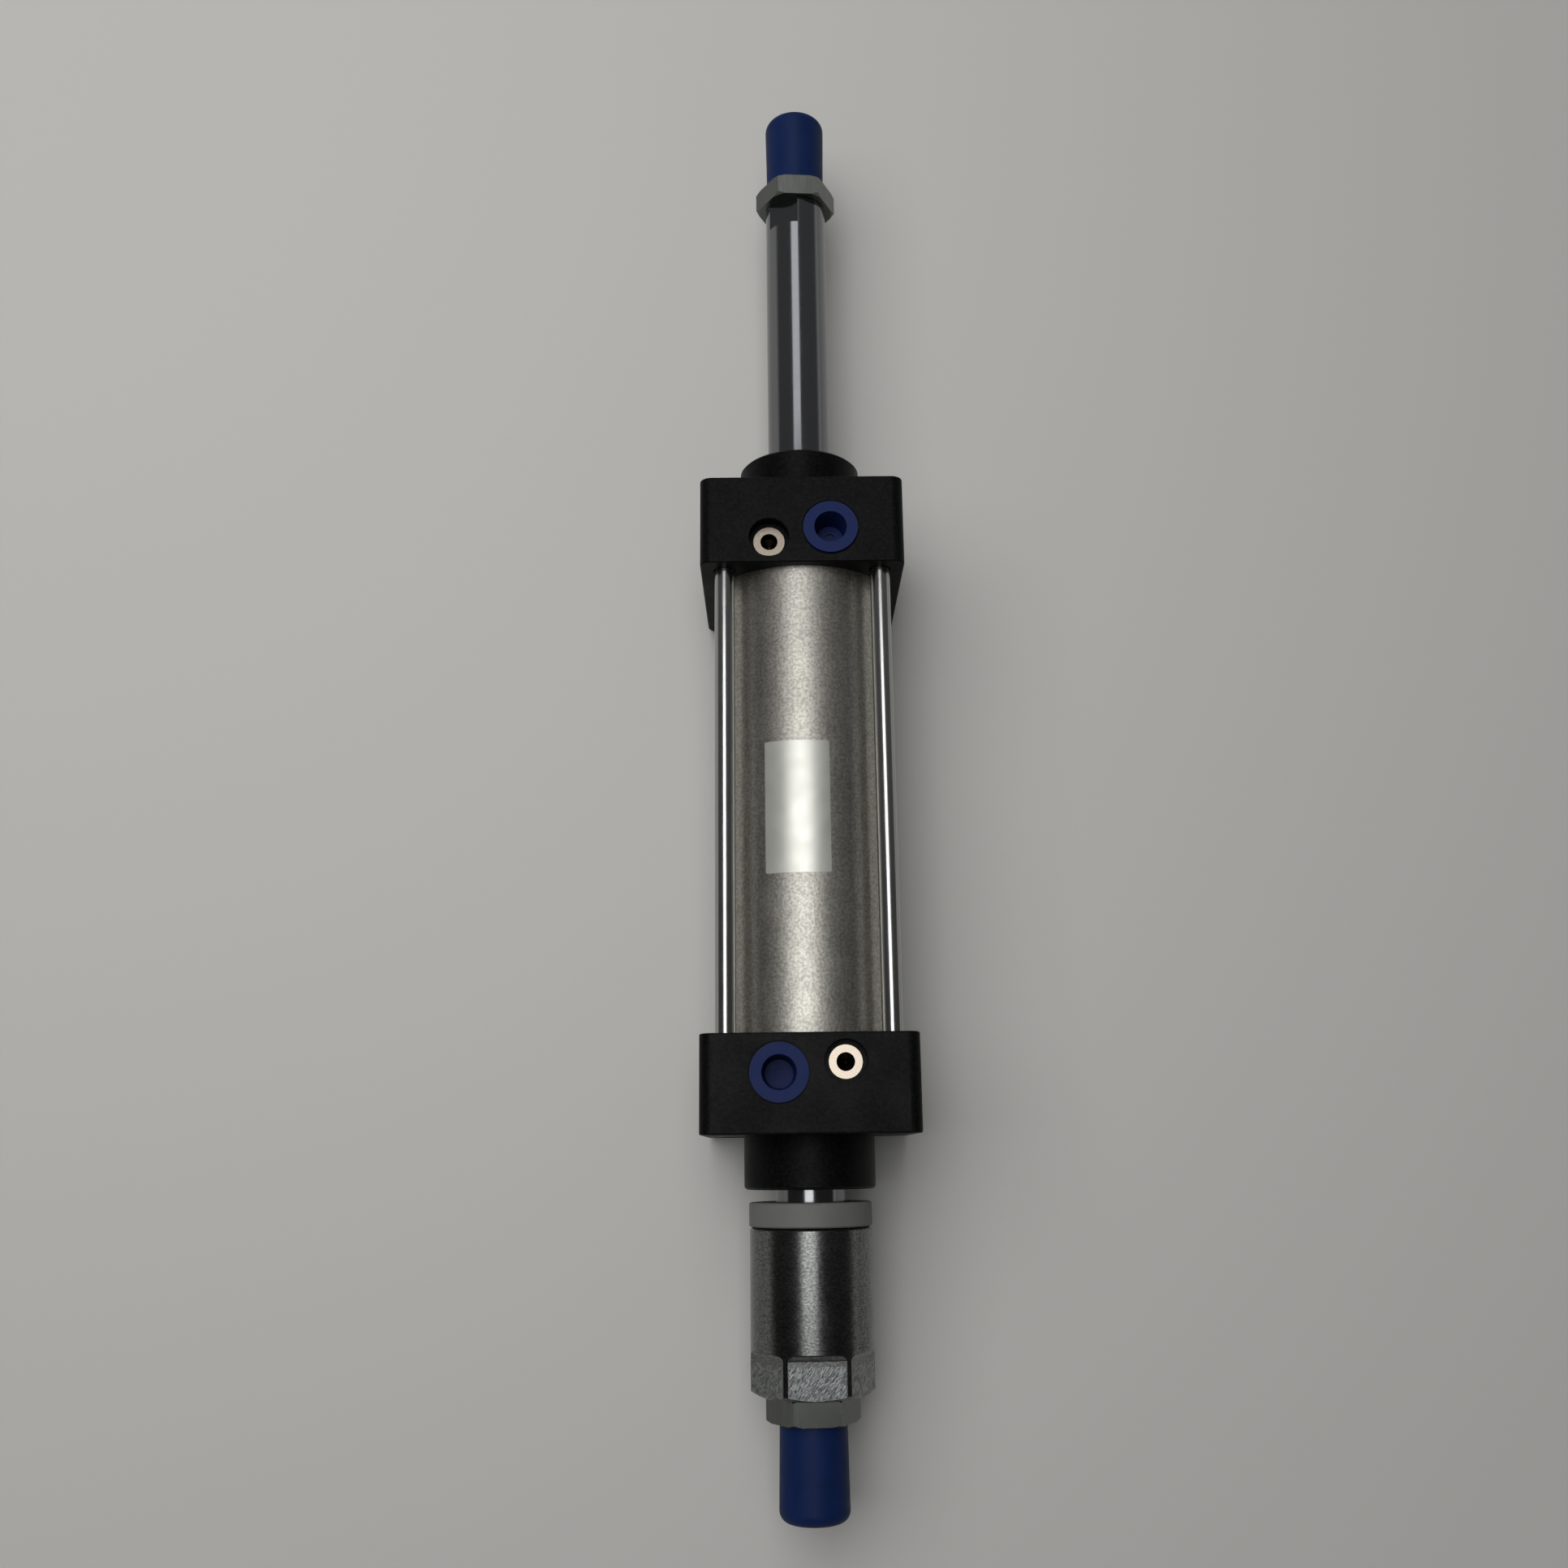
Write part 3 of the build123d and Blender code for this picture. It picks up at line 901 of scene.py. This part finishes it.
@dataclass
class ThreadedRod:
    """A piston rod with a real helical thread on its end and, on the working rod, two wrench flats."""

    node: str
    thread_pitch: float = 1.5 * MM
    thread_depth: float = 0.85 * MM
    thread_diameter: float = 16 * MM
    thread_margin: float = 0.9 * MM
    ridge_foot: float = 1.38 * MM
    ridge_crest: float = 0.24 * MM
    ridge_sink: float = 0.02 * MM
    steps_per_turn: int = 32
    flats: float = 0.0
    flats_length: float = 9.5 * MM
    flats_turn: float = math.radians(-28)
    flats_wall: float = 0.01 * MM
    flats_reach: float = 14.25 * MM
    profile: list[tuple[float, float]] = field(default_factory=list)
    thread_from: float = 0.0
    thread_to: float = 0.0

    def build(self, material: bpy.types.Material) -> bpy.types.Object:
        """Build the rod in place of its CAD node.

        Args:
            material: The rod's finish.

        Returns:
            The new rod.
        """
        mesh_data = bmesh.new()
        turn_profile(mesh_data, self.profile)
        if self.flats:
            self.cut_flats(mesh_data)
        self.wind_thread(mesh_data)
        rod = new_object("threaded_" + self.node, mesh_data, material)
        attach(rod, Body.ROD.value)
        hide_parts(self.node)
        return rod

    def cut_flats(self, mesh_data: bmesh.types.BMesh) -> None:
        """Mill the two wrench flats next to the thread."""
        shoulder = self.thread_from
        wall = self.flats_wall
        for y in (shoulder - self.flats_length - wall, shoulder - self.flats_length):
            self.split(mesh_data, Vector((0, y, 0)), Vector((0, 1, 0)), shoulder)
        for side in (0.0, math.pi):
            up = Matrix.Rotation(self.flats_turn + side, 3, "Y") @ Vector((0, 0, 1))
            level = up * self.flats / 2
            self.split(mesh_data, level, up, shoulder)
            for vert in mesh_data.verts:
                inside = shoulder - self.flats_length - wall / 2 < vert.co.y < shoulder + wall
                above = (vert.co - level).dot(up)
                if inside and above > 0:
                    vert.co -= up * above

    def split(self, mesh_data: bmesh.types.BMesh, point: Vector, normal: Vector, shoulder: float) -> None:
        """Cut new edges where a plane meets the rod near its flats.

        Args:
            mesh_data: The rod's bmesh.
            point: A point on the plane.
            normal: The plane's normal.
            shoulder: Where the flats end, at the thread's shoulder.
        """
        low = shoulder - self.flats_reach
        high = shoulder + MM
        near = [f for f in mesh_data.faces if any(low < v.co.y < high for v in f.verts)]
        parts = {e for f in near for e in f.edges} | {v for f in near for v in f.verts}
        bmesh.ops.bisect_plane(
            mesh_data,
            geom=near + list(parts),
            dist=WELD,
            plane_co=point,
            plane_no=normal,
        )

    def wind_thread(self, mesh_data: bmesh.types.BMesh) -> None:
        """Wind the ridge of the right-hand thread round its core."""
        top = self.thread_diameter / 2
        core = top - self.thread_depth - self.ridge_sink
        foot = self.ridge_foot / 2
        crest = self.ridge_crest / 2
        way = 1.0 if self.thread_to > self.thread_from else -1.0
        length = abs(self.thread_to - self.thread_from) - 2 * self.thread_margin
        turns = length / self.thread_pitch
        start = self.thread_from + way * self.thread_margin
        outline = [(core, -foot), (top, -crest), (top, crest), (core, foot)]
        verts = [mesh_data.verts.new((radius, start + y, 0.0)) for radius, y in outline]
        edges = [mesh_data.edges.new((verts[i], verts[(i + 1) % 4])) for i in range(4)]
        wound = bmesh.ops.spin(
            mesh_data,
            geom=verts + edges,
            cent=(0, 0, 0),
            axis=(0, 1, 0),
            dvec=(0, way * self.thread_pitch / self.steps_per_turn, 0),
            angle=way * math.tau * turns,
            steps=round(turns * self.steps_per_turn),
        )
        ends = [edges, [e for e in wound["geom_last"] if isinstance(e, bmesh.types.BMEdge)]]
        for loop in ends:
            bmesh.ops.contextual_create(mesh_data, geom=loop)


@dataclass
class BareLabel:
    """The bare label wrapped on the tube's top."""

    tube_radius: float = 27.5 * MM
    left: float = -11.75 * MM
    right: float = 7.05 * MM
    front: float = -81.9 * MM
    back: float = -121.1 * MM
    glue: float = 0.025 * MM
    thickness: float = 0.1 * MM
    corner: float = 0.7 * MM
    steps: int = 24

    def build(self, material: bpy.types.Material) -> bpy.types.Object:
        """Wrap the label on the tube.

        Args:
            material: The label's film.

        Returns:
            The label.
        """
        radius = self.tube_radius + self.glue
        start = math.asin(self.left / radius)
        sweep = math.asin(self.right / radius) - start
        mesh_data = bmesh.new()
        turn = Matrix.Rotation(start, 3, "Y")
        verts = [mesh_data.verts.new(turn @ Vector((0, y, radius))) for y in (self.front, self.back)]
        edge = mesh_data.edges.new(verts)
        bmesh.ops.spin(
            mesh_data,
            geom=verts + [edge],
            cent=(0, 0, 0),
            axis=(0, 1, 0),
            angle=sweep,
            steps=self.steps,
        )
        bmesh.ops.recalc_face_normals(mesh_data, faces=mesh_data.faces)
        corners = [v for v in mesh_data.verts if len(v.link_edges) == 2]
        bmesh.ops.bevel(
            mesh_data,
            geom=corners,
            offset=self.corner,
            offset_type="OFFSET",
            segments=4,
            profile=0.5,
            affect="VERTICES",
            material=-1,
        )
        bmesh.ops.solidify(mesh_data, geom=mesh_data.faces, thickness=-self.thickness)
        label = new_object("bare_label", mesh_data, material)
        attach(label, Body.BARREL.value)
        return label


@dataclass
class Rods:
    """The working rod and the rear rod, with the sizes of their steps."""

    rod: float = 10 * MM
    spigot: float = 8 * MM
    stud: float = 7 * MM
    stud_bore: float = 7.02 * MM
    thread: float = 8 * MM
    root: float = 7.15 * MM
    chamfer: float = 1.5 * MM
    edge: float = 0.25 * MM
    shoulder_front: float = 111.5 * MM
    spigot_from: float = -29.5 * MM
    joint: float = -91.5 * MM
    stud_end: float = -111.5 * MM
    bore_end: float = -112.5 * MM
    flats: float = 17 * MM
    tolerance: float = 0.05 * MM

    def build(self, material: bpy.types.Material) -> list[bpy.types.Object]:
        """Build both rods.

        Args:
            material: The chrome of the rods.

        Returns:
            The two rods.
        """
        tip_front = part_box("front_piston_rod")[1].y
        tip_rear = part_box("rear_piston_rod")[0].y
        shoulder_rear = self.rear_shoulder()
        front = [
            (0, self.stud_end),
            (self.stud, self.stud_end),
            (self.stud, self.joint),
            (self.spigot, self.joint),
            (self.spigot, self.spigot_from),
            (self.rod, self.spigot_from),
            *self.end_profile(self.shoulder_front, tip_front),
        ]
        rear = [
            (0, self.bore_end),
            (self.stud_bore, self.bore_end),
            (self.stud_bore, self.joint),
            (self.rod, self.joint),
            *self.end_profile(shoulder_rear, tip_rear),
        ]
        working = ThreadedRod(
            "front_piston_rod",
            profile=front,
            thread_from=self.shoulder_front,
            thread_to=tip_front,
            flats=self.flats,
        )
        stop_side = ThreadedRod(
            "rear_piston_rod",
            profile=rear,
            thread_from=shoulder_rear,
            thread_to=tip_rear,
        )
        return [working.build(material), stop_side.build(material)]

    def rear_shoulder(self) -> float:
        """Find the y where the rear rod's thread starts.

        Returns:
            The highest y of the CAD rod's vertices on the thread's radius.
        """
        rod = bpy.data.objects["rear_piston_rod"]
        radii = [(math.hypot(v.co.x, v.co.z), v.co.y) for v in rod.data.vertices]
        return max(y for radius, y in radii if abs(radius - self.thread) < self.tolerance)

    def end_profile(self, shoulder: float, tip: float) -> list[tuple[float, float]]:
        """Outline a rod's threaded end, from its shoulder to the middle of its tip.

        Args:
            shoulder: Where the full diameter ends.
            tip: Where the thread ends.

        Returns:
            Corners as (radius, y).
        """
        way = 1.0 if tip > shoulder else -1.0
        return [
            (self.rod, shoulder - way * self.edge),
            (self.rod - self.edge, shoulder),
            (self.root, shoulder),
            (self.root, tip - way * (self.chamfer - self.thread + self.root)),
            (self.thread - self.chamfer, tip),
            (0, tip),
        ]


@dataclass(frozen=True)
class SoftLamp:
    """A rectangular soft lamp that hangs over the table and faces down."""

    name: str
    place: tuple[float, float, float]
    width: float
    length: float
    power: float
    gloss: bool = True

    def build(self) -> None:
        """Hang the lamp; without gloss, glossy surfaces don't show it."""
        light = bpy.data.lights.new(self.name, "AREA")
        light.shape = "RECTANGLE"
        light.size = self.width
        light.size_y = self.length
        light.energy = self.power
        holder = bpy.data.objects.new(self.name, light)
        holder.location = self.place
        holder.visible_glossy = self.gloss
        bpy.context.scene.collection.objects.link(holder)


@dataclass
class Studio:
    """The pale table, the lamps and the camera of the photograph's view."""

    floor_z: float = -30.75 * MM
    floor_size: float = 3.0
    floor_colour: str = "#aaa9a6"
    backdrop_colour: str = "#b0b0ad"
    lamps: tuple[SoftLamp, ...] = (
        SoftLamp("room_light", (-0.48, 0.27, 1.0), width=1.2, length=1.2, power=11.6, gloss=False),
        SoftLamp("strip_overhead", (-0.135, 0.04, 1.5), width=0.73, length=0.92, power=6.7),
        SoftLamp("strip_ahead", (-0.135, 1.375, 1.5), width=0.73, length=1.25, power=4.3),
    )
    camera_place: tuple[float, float, float] = (-8.28 * MM, -200.08 * MM, 451.16 * MM)
    camera_turn: tuple[float, float, float] = (13.916, -0.105, -0.667)
    camera_lens: float = 34.59
    sensor: float = 36.0
    nearest: float = 10 * MM

    def build(self) -> None:
        """Make the floor, the lamps, the world and the camera."""
        self.table()
        self.world()
        for lamp in self.lamps:
            lamp.build()
        self.camera()

    def table(self) -> None:
        """Make the pale table top."""
        mesh_data = bmesh.new()
        bmesh.ops.create_grid(mesh_data, x_segments=1, y_segments=1, size=self.floor_size)
        bmesh.ops.translate(mesh_data, verts=mesh_data.verts, vec=(0, 0, self.floor_z))
        # A matt pale grey that takes the soft shadows and has no horizon.
        finish = FadingTable(
            "pale laminate table",
            self.floor_colour,
            roughness=0.55,
            specular=0.3,
            glow=1.0,
            backdrop_colour=self.backdrop_colour,
        )
        new_object("table_top", mesh_data, finish.build())

    def world(self) -> None:
        """Light the scene with a dark room, less dark ahead and behind, and show a pale backdrop.

        The camera sees the backdrop everywhere, metal and glass see it low over the table.
        """
        world = bpy.data.worlds.new("dark_room")
        bpy.context.scene.world = world
        world.use_nodes = True
        tree = world.node_tree
        tree.nodes.clear()
        way = add_node(tree, "ShaderNodeTexCoord").outputs["Generated"]
        parts = add_node(tree, "ShaderNodeSeparateXYZ", links={"Vector": way})
        room = add_node(
            tree,
            "ShaderNodeBackground",
            {"Color": linear("#ffffff")},
            {"Strength": self.room_level(tree, parts.outputs["Y"])},
        )
        backdrop = add_node(
            tree,
            "ShaderNodeBackground",
            {"Color": linear(self.backdrop_colour), "Strength": 1.0},
        )
        mix = add_node(
            tree,
            "ShaderNodeMixShader",
            links={
                0: self.backdrop_share(tree, parts.outputs["Z"]),
                1: room.outputs["Background"],
                2: backdrop.outputs["Background"],
            },
        )
        add_node(tree, "ShaderNodeOutputWorld", links={"Surface": mix.outputs["Shader"]})

    def room_level(self, tree: Tree, forward: Socket) -> Socket:
        """Say how bright the room is in each direction.

        Args:
            tree: The world's node tree.
            forward: How far a direction points ahead, from minus one to one.

        Returns:
            The strength of the room.
        """
        ahead = add_node(
            tree,
            "ShaderNodeMapRange",
            {"From Min": -0.2, "From Max": 0.5, "To Min": 0.012, "To Max": 0.12},
            {"Value": forward},
        )
        behind = add_node(
            tree,
            "ShaderNodeMapRange",
            {"From Min": -0.3, "From Max": -0.8, "To Min": 0.0, "To Max": 0.25},
            {"Value": forward},
        )
        level = add_node(
            tree,
            "ShaderNodeMath",
            {"operation": "ADD"},
            {0: ahead.outputs["Result"], 1: behind.outputs["Result"]},
        )
        return level.outputs["Value"]

    def backdrop_share(self, tree: Tree, upward: Socket) -> Socket:
        """Say which rays see the backdrop in place of the room.

        Args:
            tree: The world's node tree.
            upward: How far a direction points up, from minus one to one.

        Returns:
            The share of the backdrop, from nought to one.
        """
        low = add_node(
            tree,
            "ShaderNodeMapRange",
            {"From Min": 0.2, "From Max": 0.08},
            {"Value": upward},
        )
        path = add_node(tree, "ShaderNodeLightPath")
        mirrored = add_node(
            tree,
            "ShaderNodeMath",
            {"operation": "MULTIPLY"},
            {0: mirror_rays(tree, path), 1: low.outputs["Result"]},
        )
        seen = add_node(
            tree,
            "ShaderNodeMath",
            {"operation": "MAXIMUM"},
            {0: path.outputs["Is Camera Ray"], 1: mirrored.outputs["Value"]},
        )
        return seen.outputs["Value"]

    def camera(self) -> None:
        """Set the camera where the photograph was taken from."""
        lens = bpy.data.cameras.new("photo_camera")
        lens.sensor_width = self.sensor
        lens.lens = self.camera_lens
        lens.clip_start = self.nearest
        holder = bpy.data.objects.new("photo_camera", lens)
        holder.location = self.camera_place
        holder.rotation_euler = [math.radians(a) for a in self.camera_turn]
        bpy.context.scene.collection.objects.link(holder)
        bpy.context.scene.camera = holder


@dataclass
class PneumaticCylinder:
    """The whole cylinder: the CAD nodes dressed, and the pieces that replace or join them."""

    frame: dict
    palette: Palette = field(default_factory=Palette)

    def build(self) -> None:
        """Dress every node and add the new pieces."""
        materials = self.palette.build()
        self.dress(materials)
        # A little paler and smoother than the tube under it.
        film = LabelFilm("silver polyester label film", "#c4c4bd", metallic=0.75, roughness=0.34)
        label = BareLabel().build(film.build())
        log.info("%s rides on the barrel", label.name)
        for rod in Rods().build(materials["hard_chrome"]):
            log.info("%s replaces its CAD node", rod.name)

    def dress(self, materials: dict[str, bpy.types.Material]) -> None:
        """Give every CAD node the material of its slot.

        Args:
            materials: The materials by slot.
        """
        for row in self.frame["record"]["subparts"]:
            node = self.frame["nodes"][row["node"]]
            node.data.materials.clear()
            node.data.materials.append(materials[row["material_slot"]])
            log.info("%s wears %s", row["node"], row["material_slot"])


def main() -> None:
    """Build the cylinder and its studio."""
    logging.basicConfig(level=logging.INFO, format="%(name)s: %(message)s")
    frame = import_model()
    scene = bpy.context.scene
    scene.view_settings.view_transform = "Standard"
    PneumaticCylinder(frame).build()
    Studio().build()


if __name__ == "__main__":
    main()
